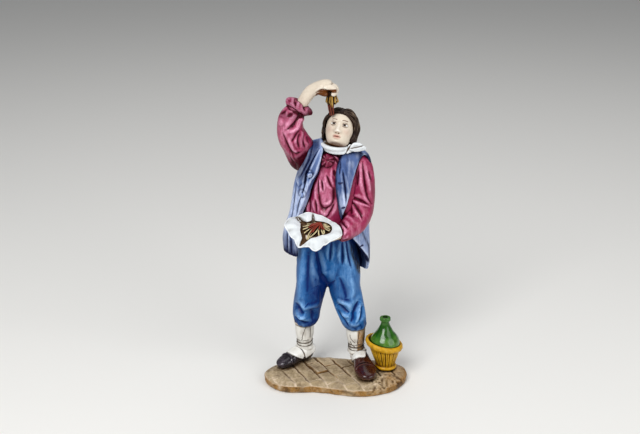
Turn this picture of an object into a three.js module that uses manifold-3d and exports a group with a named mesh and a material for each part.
// A painted nativity figure, about 115 mm tall: a man in country dress who lowers spaghetti towards
// his mouth and holds a napkin of it, on a paved base with a wicker-covered wine flask by his foot.
// Millimetres, +Z up, the front faces -Y. The origin is on the base's underside, at its middle.
import * as THREE from "three";
import { mergeVertices } from "three/addons/utils/BufferGeometryUtils.js";
import Module from "manifold-3d";

const wasm = await Module();
wasm.setup();

// Driving dimensions
const BASE_HEIGHT = 3.2;
const BRICK_LENGTH = 8.2;
const BRICK_WIDTH = 5.2;
const BRICK_RISE = 0.45;
const BRICK_TURN = 63;
const STANDING_GAP = 0.3;
const PAVED_TOP = BASE_HEIGHT + BRICK_RISE;
const SOLE_Z = PAVED_TOP + STANDING_GAP;
const SHOE_WIDTH = 7.4;
const HEAD_LENGTH = 13.6;
const VEST_THICKNESS = 1.3;
const BUTTON_RADIUS = 1.15;
const STRAND_RADIUS = 0.45;
const BASKET_HEIGHT = 11.2;
const BASKET_RADIUS = 7;
const FLASK_HEIGHT = 20.6;
const FLASK_PLACE = [18.9, 1.6];

const RIGHT = new THREE.Vector3(1, 0, 0);
const UP = new THREE.Vector3(0, 0, 1);
const FRONT_ANGLE = 270;
const radians = THREE.MathUtils.degToRad;
const smooth = THREE.MathUtils.smoothstep;

// A bell-shaped bump of height 1, with its half-width at one over e.
const bell = (distance, width) => Math.exp(-((distance / width) ** 2));

// The angle from b to a, between -180 and 180 degrees.
const turnFrom = (b, a) => THREE.MathUtils.euclideanModulo(a - b + 180, 360) - 180;

// A solid with its faces pointing out, from flat lists of coordinates and faces.
function solidOfFaces(coordinates, faces) {
  const made = (list) =>
    new wasm.Manifold(
      new wasm.Mesh({
        numProp: 3,
        vertProperties: new Float32Array(coordinates),
        triVerts: new Uint32Array(list.flat()),
      }),
    );
  const first = made(faces);
  return first.volume() > 0 ? first : made(faces.map(([a, b, c]) => [a, c, b]));
}

// A closed geometry as a solid.
function solidOf(geometry) {
  geometry.deleteAttribute("normal");
  geometry.deleteAttribute("uv");
  const merged = mergeVertices(geometry, 1e-4);
  const corners = merged.index.array;
  const faces = [];
  for (let i = 0; i < corners.length; i += 3) {
    const [a, b, c] = corners.slice(i, i + 3);
    if (a !== b && b !== c && c !== a) faces.push([a, b, c]);
  }
  return solidOfFaces(merged.attributes.position.array, faces);
}

// A solid whose wall runs through rings of points, each ring closed, with a flat end on each.
function skinned(rings) {
  const count = rings[0].length;
  const faces = [];
  for (let i = 0; i + 1 < rings.length; i++) {
    for (let j = 0; j < count; j++) {
      const a = i * count + j;
      const b = i * count + ((j + 1) % count);
      faces.push([a, b, b + count], [a, b + count, a + count]);
    }
  }
  const last = (rings.length - 1) * count;
  let low = 0;
  let high = count - 1;
  while (high - low > 1) {
    faces.push([low, high, low + 1], [last + low, last + low + 1, last + high]);
    low += 1;
    if (high - low <= 1) break;
    faces.push([low, high, high - 1], [last + low, last + high - 1, last + high]);
    high -= 1;
  }
  return solidOfFaces(rings.flat().flatMap((p) => [p.x, p.y, p.z]), faces);
}

const joined = (solids) => solids.reduce((whole, piece) => whole.add(piece));

// A smooth line through the first three numbers of each key, and one through the rest.
function smoothKeys(keys) {
  const curve = (points) => new THREE.CatmullRomCurve3(points, false, "catmullrom", 0.5);
  const line = curve(keys.map((k) => new THREE.Vector3(k[0], k[1], k[2])));
  const girth = curve(keys.map((k) => new THREE.Vector3(k[3], k[4] ?? k[3], 0)));
  return { line, girth };
}

// A limb: rings square to a smooth line through keys of [x, y, z, half width, half depth].
// The width lies along "across". Angle 0 is across, and 270 is the front of a limb that rises.
// The relief, in mm outwards, is a function of the place along the line and the angle.
function limb(keys, options = {}) {
  const { across = RIGHT, rings = 12, sides = 16, relief = () => 0 } = options;
  const { roundStart = 0, roundEnd = 0, squareness = 0 } = options;
  const { line, girth } = smoothKeys(keys);
  const stations = [];
  for (let i = 0; i <= rings; i++) stations.push(i / rings);
  if (roundStart) stations.push(roundStart * 0.04, roundStart * 0.25);
  if (roundEnd) stations.push(1 - roundEnd * 0.04, 1 - roundEnd * 0.25);
  stations.sort((a, b) => a - b);
  const endShare = (t) => {
    const start = roundStart ? Math.min(1, t / roundStart) : 1;
    const end = roundEnd ? Math.min(1, (1 - t) / roundEnd) : 1;
    const share = Math.min(start, end);
    return Math.max(0.12, Math.sqrt(1 - (1 - share) ** 2));
  };
  const sections = stations.map((t) => {
    const at = line.getPoint(t);
    const along = line.getTangent(t);
    const size = girth.getPoint(t);
    const wide = across.clone().addScaledVector(along, -across.dot(along)).normalize();
    const deep = along.clone().cross(wide);
    const ring = [];
    for (let j = 0; j < sides; j++) {
      const angle = (360 * j) / sides;
      const c = Math.cos(radians(angle));
      const s = Math.sin(radians(angle));
      const corner = 1 + squareness * (2 * c * s) ** 2;
      const lift = relief(t, angle);
      const share = endShare(t) * corner;
      ring.push(
        at
          .clone()
          .addScaledVector(wide, c * (size.x * share + lift))
          .addScaledVector(deep, s * (size.y * share + lift)),
      );
    }
    return ring;
  });
  return skinned(sections);
}

// Folds on a limb of that length and radius: each is a soft ridge, or a groove where its height is
// negative, from [place, angle] to [place, angle], with a width and height in mm.
function folds(list, length, radius) {
  return (t, angle) => {
    let lift = 0;
    for (const [t0, a0, t1, a1, width, height] of list) {
      const run = new THREE.Vector2((t1 - t0) * length, radians(a1 - a0) * radius);
      const off = new THREE.Vector2((t - t0) * length, radians(turnFrom(a0, angle)) * radius);
      const share = THREE.MathUtils.clamp(off.dot(run) / run.lengthSq(), 0, 1);
      lift += height * bell(off.addScaledVector(run, -share).length(), width);
    }
    return lift;
  };
}

// Gathers: pleats round the limb that are deepest at one place and fade away from it.
function gathers(place, reach, count, height, phase = 0) {
  return (t, angle) => {
    const pleat = Math.cos(radians(count * (angle + phase)));
    return height * pleat * bell(t - place, reach);
  };
}

const together = (...reliefs) => (t, angle) => reliefs.reduce((sum, r) => sum + r(t, angle), 0);

// A round strand along a smooth line.
function strand(points, radius = STRAND_RADIUS, options = {}) {
  const keys = points.map((p) => [...p, radius]);
  return limb(keys, { rings: points.length, sides: 5, ...options });
}

// The base's outline, seen from above.
const BASE_OUTLINE = [
  [27, -0.4],
  [26.4, 4.4],
  [22.8, 7.4],
  [14, 9.6],
  [6, 10.8],
  [0.2, 11.9],
  [-4.8, 12.4],
  [-10, 12.6],
  [-14.8, 11.2],
  [-19.5, 8],
  [-24.5, 4.2],
  [-27, -0.6],
  [-25.6, -5.6],
  [-21.8, -10],
  [-17.3, -11.9],
  [-13, -11.7],
  [-8.4, -11.4],
  [-3, -12.3],
  [2.2, -13.9],
  [8.1, -14.8],
  [13, -14.6],
  [16.8, -13.2],
  [20.6, -11.5],
  [24, -7.7],
  [26.2, -3.8],
];
const BASE_SIDES = 31;

// The outline as a ring of points, drawn in by a distance.
function baseRing(shrink) {
  const corners = BASE_OUTLINE.map(([x, y]) => new THREE.Vector3(x, y, 0));
  const curve = new THREE.CatmullRomCurve3(corners, true, "catmullrom", 0.5);
  return curve
    .getSpacedPoints(BASE_SIDES)
    .slice(0, -1)
    .map((p) => p.setLength(p.length() - shrink));
}

function baseSolid() {
  const levels = [
    [0, 0.6],
    [1, 0],
    [2.1, 0.3],
    [2.8, 1.4],
    [BASE_HEIGHT, 3.4],
  ];
  const sections = levels.map(([z, shrink]) => baseRing(shrink).map((p) => p.setZ(z)));
  return joined([skinned(sections), paving(), rubble()]);
}

// Bricks in rows across the base, each a low block with a bevelled top, kept inside the outline.
function paving() {
  const outline = new THREE.Shape(baseRing(3).map((p) => new THREE.Vector2(p.x, p.y)));
  const field = new THREE.ExtrudeGeometry(outline, { depth: 4, bevelEnabled: false });
  const inside = solidOf(field.translate(0, 0, 1));
  const bricks = [];
  for (let row = -5; row <= 4; row++) {
    for (let step = -2; step <= 2; step++) {
      const shift = row % 2 === 0 ? 0 : BRICK_LENGTH / 2;
      const along = step * BRICK_LENGTH + shift;
      const across = row * BRICK_WIDTH;
      const sunk = (row * 5 + step * 3) % 4 === 0 ? 0.2 : 0;
      bricks.push(brick(along, across, sunk));
    }
  }
  return joined(bricks).intersect(inside);
}

function brick(along, across, sunk) {
  const joint = 0.5;
  const block = new THREE.CylinderGeometry(0.92, 1, 1.2, 4, 1).rotateY(Math.PI / 4);
  block.rotateX(Math.PI / 2);
  const half = Math.SQRT1_2;
  block.scale((BRICK_LENGTH - joint) / 2 / half, (BRICK_WIDTH - joint) / 2 / half, 1);
  block.translate(along, across, BASE_HEIGHT + BRICK_RISE - 0.6 - sunk);
  return solidOf(block.rotateZ(radians(-BRICK_TURN)));
}

// A few flat stones in the bare ground before the flask.
function rubble() {
  const stones = [
    [20.5, -5.6, 2.6, 1.2, 20],
    [23, -3.6, 1.6, 1, 70],
    [17.6, -6.4, 1.5, 0.9, -30],
  ];
  return joined(
    stones.map(([x, y, long, wide, turn]) => {
      const stone = new THREE.SphereGeometry(1, 6, 4).scale(long, wide, 0.9);
      return solidOf(stone.rotateZ(radians(turn)).translate(x, y, BASE_HEIGHT));
    }),
  );
}

function flaskSolid() {
  const [x, y] = FLASK_PLACE;
  const floor = PAVED_TOP + STANDING_GAP;
  const slats = 10;
  const sides = 30;
  // Each level is [height, radius, depth of the grooves between the slats].
  const basket = [
    [0, 3.7, 0],
    [1.2, 3.8, 0],
    [1.7, 3.7, 0.35],
    [8.9, 6, 0.35],
    [9.3, 6.7, 0],
    [10.5, BASKET_RADIUS, 0],
    [BASKET_HEIGHT, 6.7, 0],
    [BASKET_HEIGHT, 6, 0],
    [10.2, 5.6, 0],
  ];
  const sections = basket.map(([z, radius, groove]) => {
    const ring = [];
    for (let j = 0; j < sides; j++) {
      const inGroove = j % (sides / slats) === 0 ? groove : 0;
      const angle = (2 * Math.PI * j) / sides;
      const reach = radius - inGroove;
      const lean = (-1.5 * Math.cos(angle) * radius * z) / BASKET_RADIUS / BASKET_HEIGHT;
      const place = [x - 0.07 * z + reach * Math.cos(angle), y + reach * Math.sin(angle)];
      ring.push(new THREE.Vector3(...place, floor + z + lean));
    }
    return ring;
  });
  const wicker = skinned(sections);
  const profile = [
    [0, 8],
    [5.9, 8],
    [5.3, 12],
    [4, 13.9],
    [2.7, 15.8],
    [1.8, 17.6],
    [1.4, 19],
    [2, 19.3],
    [2, FLASK_HEIGHT - 0.3],
    [1.3, FLASK_HEIGHT],
    [0, FLASK_HEIGHT - 0.2],
  ].map(([radius, z]) => new THREE.Vector2(radius, z));
  const glass = new THREE.LatheGeometry(profile, 12).rotateX(Math.PI / 2);
  glass.translate(x - 0.5, y, floor);
  return wicker.add(solidOf(glass));
}

// A shoe that stands on its sole: heel at [x, y], the toe towards the heading, in degrees.
function shoe(heelX, heelY, heading, length) {
  const sole = [
    [-0.5, 2.1, 2.4],
    [0.06 * length, 2.9, 3],
    [0.24 * length, 2.9, 3],
    [0.42 * length, 2.9, 2.6],
    [0.6 * length, 3.4, 2.3],
    [0.79 * length, SHOE_WIDTH / 2, 1.8],
    [0.92 * length, 2.9, 1.3],
    [length - 0.5, 1.6, 0.9],
  ];
  const keys = sole.map(([run, wide, tall]) => [run, 0, tall, wide, tall]);
  const upper = limb(keys, {
    across: new THREE.Vector3(0, 1, 0),
    rings: 6,
    sides: 10,
    roundStart: 0.12,
    roundEnd: 0.1,
    squareness: 0.14,
  });
  const away = upper.rotate([0, 0, heading]).translate([heelX, heelY, SOLE_Z]);
  return away.trimByPlane([0, 0, 1], SOLE_Z);
}

// The stocking and its gaiter: from under the breeches, bound at the ankle, to a flap on the shoe.
function stocking(x, y, lean, heading) {
  const shank = limb(
    [
      [x - 0.1, y, SOLE_Z + 1.2, 2.6, 3],
      [x, y, SOLE_Z + 4.4, 3.2, 3.3],
      [x + lean * 0.3, y, SOLE_Z + 6.2, 2.9, 2.9],
      [x + lean * 0.5, y, SOLE_Z + 9.5, 3.25, 3.3],
      [x + lean, y - 0.1, SOLE_Z + 13.5, 3.6, 3.8],
      [x + lean, y - 0.2, SOLE_Z + 16.5, 3.3, 3.3],
    ],
    { rings: 6, sides: 10 },
  );
  const ahead = new THREE.Vector3(Math.cos(radians(heading)), Math.sin(radians(heading)), 0);
  const side = new THREE.Vector3(-ahead.y, ahead.x, 0);
  const place = (run, z) => [x + ahead.x * run, y + ahead.y * run, z];
  const flap = limb(
    [
      [...place(-1.5, SOLE_Z + 5.2), 2.6, 1],
      [...place(1.8, SOLE_Z + 4.9), 3, 1.2],
      [...place(4.6, SOLE_Z + 4.1), 3.1, 1.2],
      [...place(7.4, SOLE_Z + 3.2), 2.4, 1],
    ],
    { across: side, rings: 3, sides: 7, roundEnd: 0.2 },
  );
  return shank.add(flap);
}

function breeches() {
  const legSize = { rings: 9, sides: 15 };
  const left = limb(
    [
      [-11.3, 7.4, 18.6, 3.4, 3.6],
      [-11.2, 7.2, 19.6, 4.2, 4.4],
      [-10.9, 6.8, 22, 5, 5.2],
      [-10.7, 6.3, 26, 5.2, 5.4],
      [-9.9, 6, 31, 5.5, 5.8],
      [-8.9, 5.9, 36, 5.9, 6.2],
      [-8.2, 6.2, 43, 6.3, 6.7],
      [-7.4, 6.4, 50, 5.6, 6],
    ],
    {
      ...legSize,
      relief: together(
        gathers(0.08, 0.12, 9, 0.35),
        folds(
          [
            [0.2, 235, 0.36, 205, 1.1, -1.1],
            [0.12, 300, 0.33, 322, 1.2, -1],
            [0.16, 268, 0.3, 250, 1, 0.7],
            [0.45, 300, 0.75, 290, 1.6, -0.7],
            [0.5, 240, 0.85, 250, 1.4, 0.5],
          ],
          32,
          5.2,
        ),
      ),
    },
  );
  const right = limb(
    [
      [7.5, 4.6, 17.9, 3.4, 3.6],
      [7.4, 4.6, 18.9, 4.2, 4.3],
      [6.8, 4.8, 21.4, 4.8, 5.1],
      [5.7, 5, 26, 5.2, 5.5],
      [4.4, 5.3, 31, 5.6, 5.9],
      [3.2, 5.6, 36, 6, 6.3],
      [2.8, 6, 43, 6.4, 6.7],
      [2, 6.4, 50, 5.6, 6],
    ],
    {
      ...legSize,
      relief: together(
        gathers(0.08, 0.12, 9, 0.35, 12),
        folds(
          [
            [0.14, 275, 0.34, 262, 1.2, -1.2],
            [0.3, 235, 0.4, 205, 1.1, -1],
            [0.14, 310, 0.4, 335, 1.3, -0.8],
            [0.08, 250, 0.28, 238, 1, 0.6],
            [0.55, 255, 0.85, 280, 1.5, -0.6],
          ],
          32,
          5.2,
        ),
      ),
    },
  );
  const hips = limb(
    [
      [-2.8, 6.6, 34.2, 2, 1.8],
      [-2.8, 6.3, 36.6, 5.6, 4.4],
      [-2.7, 6.2, 40, 10.6, 6.8],
      [-2.8, 6.4, 45, 11.7, 7.3],
      [-2.8, 6.2, 50, 11, 6.9],
      [-2.4, 6, 56, 10, 6.2],
      [-2, 6, 61, 9, 5.8],
    ],
    {
      rings: 6,
      sides: 14,
      relief: folds(
        [
          [0.1, 268, 0.6, 262, 1.1, -0.9],
          [0.55, 296, 0.9, 297, 0.8, -0.7],
          [0.6, 314, 0.9, 312, 0.8, -0.6],
          [0.5, 236, 0.9, 240, 1, -0.6],
          [0.5, 215, 0.9, 222, 1, -0.5],
        ],
        26,
        9,
      ),
    },
  );
  return joined([left, right, hips]);
}

function shirtBody() {
  return limb(
    [
      [-1.8, 6.4, 57, 8.4, 5.2],
      [-1.4, 6, 62, 9.6, 6.2],
      [-1, 5.9, 67, 10.2, 6.6],
      [-0.3, 6.4, 73, 10.2, 6.3],
      [0.2, 7, 79, 10.4, 5.9],
      [0.4, 7.5, 84, 9.4, 5.2],
      [0.9, 7.6, 87.2, 7.8, 4.8],
      [1.2, 7.2, 90, 3.6, 3.4],
    ],
    {
      rings: 10,
      sides: 18,
      relief: folds(
        [
          [0.2, 262, 0.75, 258, 1.1, -0.7],
          [0.15, 248, 0.65, 245, 0.9, -0.7],
          [0.15, 234, 0.6, 236, 0.8, -0.6],
          [0.5, 270, 0.78, 264, 0.9, 0.7],
          [0.25, 268, 0.36, 286, 1.3, -1],
          [0.38, 273, 0.48, 286, 1.2, 0.7],
          [0.5, 283, 0.8, 278, 0.9, -0.6],
          [0.14, 285, 0.3, 300, 1, -0.7],
        ],
        33,
        9,
      ),
    },
  );
}

// The gathered round of cloth under the shirt's neckband.
function neckKnot() {
  const disc = new THREE.SphereGeometry(1, 14, 6).rotateX(Math.PI / 2).scale(2.3, 1, 2.2);
  const place = disc.attributes.position;
  for (let i = 0; i < place.count; i++) {
    const turn = Math.atan2(place.getZ(i), place.getX(i));
    const pleat = 1 + 0.08 * Math.cos(7 * turn);
    place.setXYZ(i, place.getX(i) * pleat, place.getY(i), place.getZ(i) * pleat);
  }
  return solidOf(disc.translate(-3.2, 2.2, 84.9));
}

// The open waistcoat: a shell whose rings run from its left front edge round the back to its right.
// Each key is [height, middle x, middle y, half width, half depth, left edge, right edge, slope,
// thickness]. It hangs free below the waist and lies on the shirt above.
function waistcoat() {
  const keys = [
    [45.2, -3.4, 6.4, 15.8, 7.9, 226, 372, -2.6, 1.2],
    [48.6, -3.4, 6.3, 15.9, 8, 226, 352, -2, 1.3],
    [53, -3.4, 6.1, 15.9, 8, 222.9, 326.2, -1.6, 1.4],
    [58, -3.2, 6, 15.4, 8, 217.7, 303.8, -0.6, 2.4],
    [64, -2.4, 5.9, 14.6, 8, 217, 288.2, 0, 3.6],
    [70, -1.65, 6, 14.25, 8, 224.5, 279.1, 0, 4],
    [76, -1.1, 6.5, 13.8, 7.9, 229.8, 273.7, 0, 4.2],
    [81.5, -0.3, 7.1, 13, 7.4, 238.1, 270.7, 0.2, 4],
    [85.4, 0.5, 7.4, 11.4, 6.7, 234, 273, -0.4, 3.2],
    [88.2, 0.8, 7.6, 9, 5.8, 231, 280, -1, 2.6],
    [89.8, 1, 7.6, 6.2, 4.9, 238, 288, -0.8, 2],
  ];
  const tracks = keys[0].map((_, c) => {
    const points = keys.map((k) => new THREE.Vector3(k[c], 0, 0));
    return new THREE.CatmullRomCurve3(points, false, "catmullrom", 0.5);
  });
  const rings = 10;
  const spans = 16;
  const creases = folds(
    [
      [0.02, 205, 0.5, 196, 1.2, -0.9],
      [0.02, 186, 0.4, 178, 1, 0.5],
      [0.05, 168, 0.42, 160, 1.3, -0.7],
      [0.4, 240, 0.75, 243, 0.6, -0.3],
      [0.02, 60, 0.5, 75, 1.5, -0.8],
      [0.02, 95, 0.5, 92, 1.4, 0.6],
      [0.02, 125, 0.5, 112, 1.5, -0.8],
      [0.02, 30, 0.35, 40, 1.4, -0.6],
    ],
    45,
    11,
  );
  const sections = [];
  for (let i = 0; i <= rings; i++) {
    const t = i / rings;
    const [z, x, y, wide, deep, left, right, slope, thick] = tracks.map((k) => k.getPoint(t).x);
    const outer = [];
    const inner = [];
    for (let j = 0; j <= spans; j++) {
      const angle = left + ((right - 360 - left) * j) / spans;
      const c = Math.cos(radians(angle));
      const s = Math.sin(radians(angle));
      const lift = creases(t, angle);
      const tall = z + slope * c;
      outer.push(new THREE.Vector3(x + c * (wide + lift), y + s * (deep + lift), tall));
      const hollow = lift - thick;
      inner.push(new THREE.Vector3(x + c * (wide + hollow), y + s * (deep + hollow), tall));
    }
    sections.push([...outer, ...inner.reverse()]);
  }
  return skinned(sections);
}

// A block cut to an outline seen from the front, from one depth to another.
function frontBlock(outline, nearY, farY) {
  const shape = new THREE.Shape(outline.map(([x, z]) => new THREE.Vector2(x, z)));
  const block = new THREE.ExtrudeGeometry(shape, { depth: farY - nearY, bevelEnabled: false });
  return solidOf(block.rotateX(Math.PI / 2).translate(0, farY, 0));
}

// The two armholes: one under the raised sleeve, one open to the front for the lowered sleeve.
function armholes() {
  const raised = [
    [-8.4, 96],
    [-8.9, 91.2],
    [-10, 87.2],
    [-12, 83],
    [-14.6, 78.8],
    [-17, 77],
    [-26, 79],
    [-26, 96],
  ];
  const lowered = [
    [10.4, 86],
    [9.3, 86],
    [8.2, 85],
    [7, 81.8],
    [5.9, 78.2],
    [4.8, 73.6],
    [3.8, 69.6],
    [2.3, 65.6],
    [1.8, 60.4],
    [12, 60.8],
    [20, 61.5],
    [20, 78.6],
    [12.7, 79.6],
    [12.1, 82.2],
    [11.5, 84.4],
  ];
  return frontBlock(raised, -12, 20).add(frontBlock(lowered, -12, 6));
}

// The strap over the raised shoulder, which lies on the sleeve.
function strap() {
  return limb(
    [
      [-6.9, 6.6, 91.2, 2.2, 0.7],
      [-7, 4.3, 90.3, 2.6, 0.8],
      [-7.5, 2.5, 88.2, 2.7, 0.9],
      [-8.3, 1.9, 85.8, 2.7, 0.9],
      [-9.4, 1.8, 83, 2.9, 0.9],
      [-10.4, 2, 80.6, 3.2, 1],
      [-11.3, 2.6, 78.2, 3, 1],
      [-11.6, 3.6, 75, 2, 0.8],
    ],
    { across: new THREE.Vector3(1, 0.05, 0.25), rings: 7, sides: 8, squareness: 0.12 },
  );
}

// The buttons down the waistcoat's left front.
function buttons() {
  const places = [
    [-9.5, 1, 80.4],
    [-12.1, 1.5, 72.7],
  ];
  return joined(
    places.map(([x, y, z]) => {
      const round = new THREE.SphereGeometry(BUTTON_RADIUS, 7, 4).scale(1, 0.6, 1);
      return solidOf(round.translate(x, y, z));
    }),
  );
}

function raisedSleeve() {
  const sleeve = limb(
    [
      [-5, 8.6, 84.8, 5.6, 4],
      [-9.7, 7.7, 85, 6.1, 4.3],
      [-13.1, 5.6, 88.6, 5.8, 4.9],
      [-15.8, 3.2, 94.2, 5, 5.2],
      [-16.1, 2.5, 99, 4.5, 4.8],
      [-14.6, 2.2, 102.2, 3.9, 4],
      [-13.4, 2.1, 103.8, 2.6, 2.7],
    ],
    {
      across: new THREE.Vector3(0.9, 0, -0.45),
      rings: 11,
      sides: 14,
      relief: together(
        gathers(0.95, 0.1, 9, 0.35),
        folds(
          [
            [0.86, 300, 0.66, 285, 0.8, -1.4],
            [0.86, 240, 0.72, 235, 0.8, -0.8],
            [0.5, 330, 0.3, 290, 0.9, -0.8],
            [0.55, 300, 0.4, 270, 0.8, -0.6],
            [0.5, 345, 0.25, 320, 0.9, -0.8],
            [0.45, 265, 0.2, 240, 1, -0.7],
            [0.6, 255, 0.45, 235, 1.2, 0.5],
          ],
          33,
          5,
        ),
      ),
    },
  );
  return sleeve.add(raisedCuff());
}

// The puffed cuff of the raised sleeve: a fat ruffled ring round the wrist.
function raisedCuff() {
  return limb(
    [
      [-13.9, 2.2, 102.7, 3.4, 3],
      [-13.2, 2.1, 104, 4.9, 4.5],
      [-12.4, 2, 105.3, 4.5, 4.1],
      [-12, 2, 105.9, 3, 2.6],
    ],
    {
      across: new THREE.Vector3(0.85, 0, -0.5),
      rings: 4,
      sides: 18,
      relief: gathers(0.5, 0.3, 6, 0.45),
    },
  );
}

function raisedHand() {
  const palm = limb(
    [
      [-13, 2, 103.6, 1.8, 1.9],
      [-11, 1.9, 107, 1.9, 1.9],
      [-8.8, 1.7, 109.8, 2.1, 2],
      [-5.6, 1.4, 111.3, 2.9, 2.3],
      [-2.6, 1.1, 111.9, 3, 2.2],
      [-0.6, 0.9, 111.4, 2.6, 1.8],
    ],
    { across: new THREE.Vector3(0, 1, 0), rings: 5, sides: 9, roundEnd: 0.12 },
  );
  // Each finger is [how far forward it lies, how far out it reaches, where its tip ends].
  const fingers = [
    [-1.7, 0.2, 108.8],
    [-0.1, 0.5, 108.2],
    [1.4, 0.3, 108.4],
    [2.8, -0.4, 109.2],
  ].map(([y, reach, tip]) =>
    limb(
      [
        [-2, y + 0.5, 111.8, 1.1],
        [0 + reach, y + 0.2, 111.2, 1.05],
        [-0.6 + reach, y - 0.1, tip, 0.85],
      ],
      { rings: 2, sides: 5, roundEnd: 0.2, across: new THREE.Vector3(0, 1, 0) },
    ),
  );
  const thumb = limb(
    [
      [-6.4, 0.2, 110.6, 1.4],
      [-4.2, -1, 109.4, 1.2],
      [-2, -1.2, 108.4, 0.9],
    ],
    { rings: 2, sides: 5, across: new THREE.Vector3(0, 1, 0) },
  );
  return joined([palm, ...fingers, thumb]);
}

// The spaghetti that hangs from the raised hand and meets the hair over the forehead: a hank
// ridged by its strands, with two loose ones before it.
function hangingSpaghetti() {
  const hank = limb(
    [
      [-1.6, 0.4, 110.6, 2, 1.5],
      [-1.4, 0, 107.6, 2.2, 1.4],
      [-1.7, 0.1, 105, 1.4, 1.1],
      [-2.1, 0.8, 101, 1, 0.9],
    ],
    { rings: 5, sides: 12, relief: (t, angle) => 0.3 * Math.cos(radians(6 * angle)) },
  );
  const loose = [-1, 1].map((side) =>
    strand(
      [
        [-1.4 + 2 * side, -0.6, 109],
        [-1.5 + 1.8 * side, -1, 106],
        [-1.9 + 1.2 * side, -0.4, 103.8],
      ],
      0.5,
      { rings: 2, sides: 4 },
    ),
  );
  return joined([hank, ...loose]);
}

// The hand that lies flat under the napkin.
function loweredHand() {
  return limb(
    [
      [2.6, -5, 60.2, 1.9, 1.7],
      [0.6, -6.2, 60, 1.9, 1.6],
      [-3, -7.4, 59.6, 3, 1.6],
      [-7.5, -8.2, 59.6, 3.4, 1.4],
      [-11, -8.4, 60.2, 2.4, 1],
    ],
    { across: new THREE.Vector3(0, 1, 0), rings: 5, sides: 8 },
  );
}

function loweredSleeve() {
  return limb(
    [
      [6.2, 7.5, 84.6, 3.8, 3.8],
      [8.9, 6.5, 82.2, 3.7, 4.5],
      [9.7, 5.5, 78, 4, 4.4],
      [9.4, 4.8, 72, 4.5, 4.7],
      [8.9, 3.2, 66.4, 4.6, 4.8],
      [7, 0.2, 62.6, 4.5, 4.3],
      [4.2, -3.2, 61, 4, 3.7],
      [2, -5.8, 60.4, 3.3, 3],
      [1, -7, 60.2, 2.2, 2.2],
    ],
    {
      across: new THREE.Vector3(0.8, -0.25, 0.5),
      rings: 11,
      sides: 12,
      relief: together(
        gathers(0.96, 0.07, 7, 0.35),
        folds(
          [
            [0.14, 80, 0.5, 60, 0.8, -0.8],
            [0.14, 110, 0.5, 95, 0.8, -0.7],
            [0.5, 130, 0.6, 60, 0.7, -0.8],
            [0.6, 140, 0.75, 75, 0.8, -0.8],
            [0.58, 100, 0.7, 50, 0.8, 0.5],
            [0.85, 120, 0.93, 60, 0.7, -0.6],
          ],
          38,
          4.4,
        ),
      ),
    },
  );
}

// The napkin: a hollow of cloth with four drooping petals, thick enough to stand for the hand that
// carries it. Its rings run out over the top and back underneath.
const NAPKIN_AT = new THREE.Vector3(-7.9, -8.3, 62);
const NAPKIN_TILT = radians(24);
function placedOnNapkin(solid) {
  const place = new THREE.Matrix4().makeRotationX(NAPKIN_TILT).setPosition(NAPKIN_AT);
  return solid.transform(place.elements);
}

// Each row is [angle, reach of the edge, height of the edge, reach of the hollow, height of its lip].
const NAPKIN_OUTLINE = [
  [0, 9.6, 1.1, 6.6, 0.9],
  [12, 8.8, 1.4, 5.9, 1],
  [29, 7.6, 1.1, 5.2, 0.7],
  [48, 6.9, 0.9, 5.4, 0.2],
  [60, 6.9, 1.8, 4.5, 0.9],
  [76, 6.6, 2.3, 4.4, 1],
  [88, 6.7, 2.1, 5.4, 0.8],
  [98, 7.4, 2.5, 4.6, 1.1],
  [110, 7.8, 2.5, 4.9, 1.1],
  [124, 8.6, 1.5, 6.2, 0.6],
  [132, 9, 0.7, 7.6, 0.1],
  [141, 9.9, 1.4, 6.4, 1.1],
  [158, 10.4, 1.8, 5.4, 1.5],
  [173, 10.6, 1.8, 5, 1.6],
  [184, 9.1, 1.2, 4.9, 1.5],
  [197, 8.8, 0.8, 4.9, 1.4],
  [212, 7.9, 0.3, 5.1, 1.1],
  [226, 8.6, -0.2, 6, 0.5],
  [236, 8.9, -0.6, 7.6, -0.4],
  [244, 7.2, -0.6, 5.7, 0.3],
  [255, 6.6, -0.9, 4.5, 0.9],
  [266, 7.5, -1.3, 4, 1],
  [276, 8, -1.5, 3.8, 1],
  [285, 7.6, -1.2, 3.7, 1],
  [299, 6.7, -0.8, 3.8, 0.9],
  [317, 7.2, -0.2, 4.1, 0.8],
  [331, 8.4, 0.4, 4.9, 0.8],
  [346, 10.2, 0.8, 6, 0.8],
];

function napkin() {
  // Each station gives a ring's reach and height from one row of the outline.
  const stations = [
    (edge, edgeZ, hollow) => [hollow * 0.5, -0.6],
    (edge, edgeZ, hollow) => [hollow * 0.97, -0.3],
    (edge, edgeZ, hollow, lipZ) => [hollow * 1.04, lipZ],
    (edge, edgeZ, hollow, lipZ) => [
      (hollow + edge) / 2,
      (lipZ + edgeZ) / 2 + 0.14 * (edge - hollow),
    ],
    (edge, edgeZ) => [edge, edgeZ],
    (edge, edgeZ) => [edge - 0.1, edgeZ - 0.8],
    (edge, edgeZ) => [edge * 0.8, edgeZ * 0.7 - 1.6],
    (edge) => [edge * 0.45, -2.4],
  ];
  const sections = stations.map((station) =>
    NAPKIN_OUTLINE.map(([angle, ...row]) => {
      const [reach, z] = station(...row);
      const a = radians(angle);
      return new THREE.Vector3(reach * Math.cos(a), reach * Math.sin(a), z);
    }),
  );
  return placedOnNapkin(skinned(sections));
}

// The heap of spaghetti in the napkin: a low mound, ridged by the strands that fan down it.
function servedSpaghetti() {
  const ridges = (t, angle) => 0.35 * Math.cos(radians(8 * angle)) * smooth(t, 0, 0.3);
  const heap = limb(
    [
      [0.3, 0.4, -1, 4.6, 3.5],
      [0.3, 0.4, -0.1, 5, 3.9],
      [0.2, 0.5, 1.1, 3.8, 2.8],
      [0.1, 0.6, 2, 1, 0.8],
    ],
    { rings: 4, sides: 24, relief: ridges },
  );
  return placedOnNapkin(heap);
}

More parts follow.
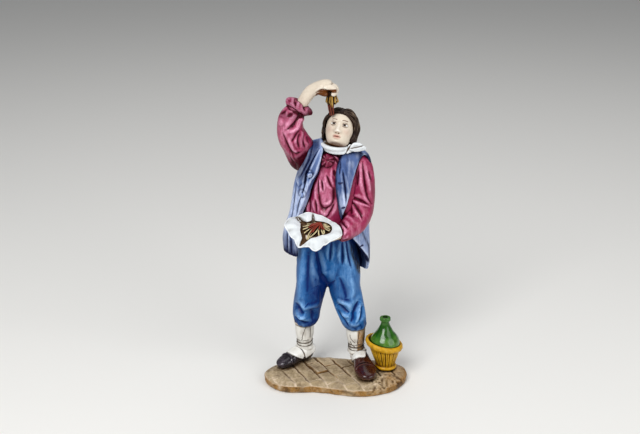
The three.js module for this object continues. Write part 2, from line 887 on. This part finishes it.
// The head looks up and a little to its right. Its own frame has the face towards -Y.
const HEAD_AT = [1.5, 4.4, 96.2];
const HEAD_TILT = new THREE.Euler(radians(-27), radians(14), radians(-14), "YXZ");
function placedOnHead(solid) {
  const place = new THREE.Matrix4().makeRotationFromEuler(HEAD_TILT);
  place.setPosition(...HEAD_AT);
  return solid.transform(place.elements);
}

function skull() {
  const half = HEAD_LENGTH / 2;
  const features = (t, angle) => {
    const side = turnFrom(FRONT_ANGLE, angle);
    const nose = 1.5 * bell(side, 12) * bell(t - 0.42, 0.08);
    const sockets = -0.6 * bell(Math.abs(side) - 26, 14) * bell(t - 0.56, 0.06);
    const brow = 0.3 * bell(Math.abs(side) - 20, 22) * bell(t - 0.68, 0.06);
    const mouth = -0.4 * bell(side, 16) * bell(t - 0.22, 0.03);
    const chin = 0.5 * bell(side, 18) * bell(t - 0.1, 0.07);
    return nose + sockets + brow + mouth + chin;
  };
  return limb(
    [
      [0, -1.2, -half, 2.3, 2.4],
      [0, -1, -half * 0.8, 3.7, 3.7],
      [0, -0.3, -half * 0.4, 4.8, 4.7],
      [0, 0, 0, 5.1, 5.1],
      [0, 0.2, half * 0.4, 4.9, 5.3],
      [0, 0.3, half * 0.85, 3.4, 4],
    ],
    { rings: 9, sides: 18, relief: features, roundStart: 0.1 },
  );
}

// The hair: a cap of wavy locks that leaves the face free and hangs to the nape.
function hair() {
  const waves = (t, angle) => 0.35 * Math.cos(radians(9 * angle)) * smooth(t, 0, 0.2);
  const cap = limb(
    [
      [0, 1.8, -6.6, 4.6, 3.8],
      [0, 1.8, -5.4, 5.9, 4.8],
      [0, 1.2, -2.4, 6.3, 5.8],
      [0, 0.9, 1, 6.1, 6.2],
      [0, 0.7, 4, 5.4, 5.9],
      [0, 0.5, 6.4, 3.4, 4],
      [0, 0.4, 7.1, 2, 2.4],
    ],
    { rings: 7, sides: 18, relief: waves },
  );
  const face = new THREE.SphereGeometry(1, 12, 8).scale(5.2, 7, 5.9).translate(-0.2, -6.2, -1.5);
  return cap.subtract(solidOf(face));
}

function neck() {
  return limb(
    [
      [1, 7.2, 86, 3.2, 3.2],
      [1.2, 6.4, 90, 3, 3.1],
      [1.3, 5.4, 94, 3, 3.2],
    ],
    { rings: 2, sides: 8 },
  );
}

// The white neckcloth: a thick roll round the neck, with its knotted end over the left shoulder.
function neckcloth() {
  const line = [];
  const turns = 12;
  for (let i = 0; i <= turns; i++) {
    const angle = radians(80 + (350 * i) / turns);
    const rise = 1.3 * Math.sin(angle) - 0.3 * Math.cos(angle);
    line.push([0.6 + 5.2 * Math.cos(angle), 5.8 + 4.8 * Math.sin(angle), 90.3 + rise, 1.15, 1.5]);
  }
  const roll = limb(line, { across: UP, rings: 12, sides: 6 });
  const end = limb(
    [
      [3.6, 1.9, 89.7, 0.9, 0.8],
      [5.6, 1.9, 90.7, 1.5, 1.2],
      [7.8, 2.2, 90.7, 1.3, 1.1],
      [9.6, 2.6, 90.3, 0.8, 0.7],
    ],
    { across: UP, rings: 3, sides: 6 },
  );
  return roll.add(end);
}

function figureSolid() {
  const leftFoot = 216;
  const rightFoot = 280;
  const lower = [
    shoe(-9.6, 10.3, leftFoot, 15.9),
    shoe(8.7, 7.6, rightFoot, 18.4),
    stocking(-11.6, 8.7, 0, leftFoot),
    stocking(8.1, 5.4, -0.5, rightFoot),
    breeches(),
  ];
  const coat = waistcoat().subtract(armholes()).add(strap());
  const upper = [shirtBody(), neckKnot(), coat, buttons(), raisedSleeve(), loweredSleeve()];
  const head = [placedOnHead(skull()), placedOnHead(hair()), neck(), neckcloth()];
  const hands = [raisedHand(), loweredHand()];
  const carried = [hangingSpaghetti(), napkin(), servedSpaghetti()];
  return joined([...lower, ...upper, ...head, ...hands, ...carried]);
}

// A named mesh in its own paint.
function painted(name, solid, colour, roughness) {
  const { vertProperties, triVerts } = solid.getMesh();
  const geometry = new THREE.BufferGeometry();
  geometry.setAttribute("position", new THREE.BufferAttribute(vertProperties, 3));
  geometry.setIndex(new THREE.BufferAttribute(triVerts, 1));
  geometry.computeVertexNormals();
  const paint = new THREE.MeshStandardMaterial({ color: colour, roughness, metalness: 0 });
  const mesh = new THREE.Mesh(geometry, paint);
  mesh.name = name;
  return mesh;
}

const statuette = new THREE.Group();
statuette.add(
  painted("base", baseSolid(), 0x9a8466, 0.6),
  painted("figure", figureSolid(), 0x9c2f50, 0.45),
  painted("wine_flask", flaskSolid(), 0xc9962c, 0.4),
);

export default statuette;
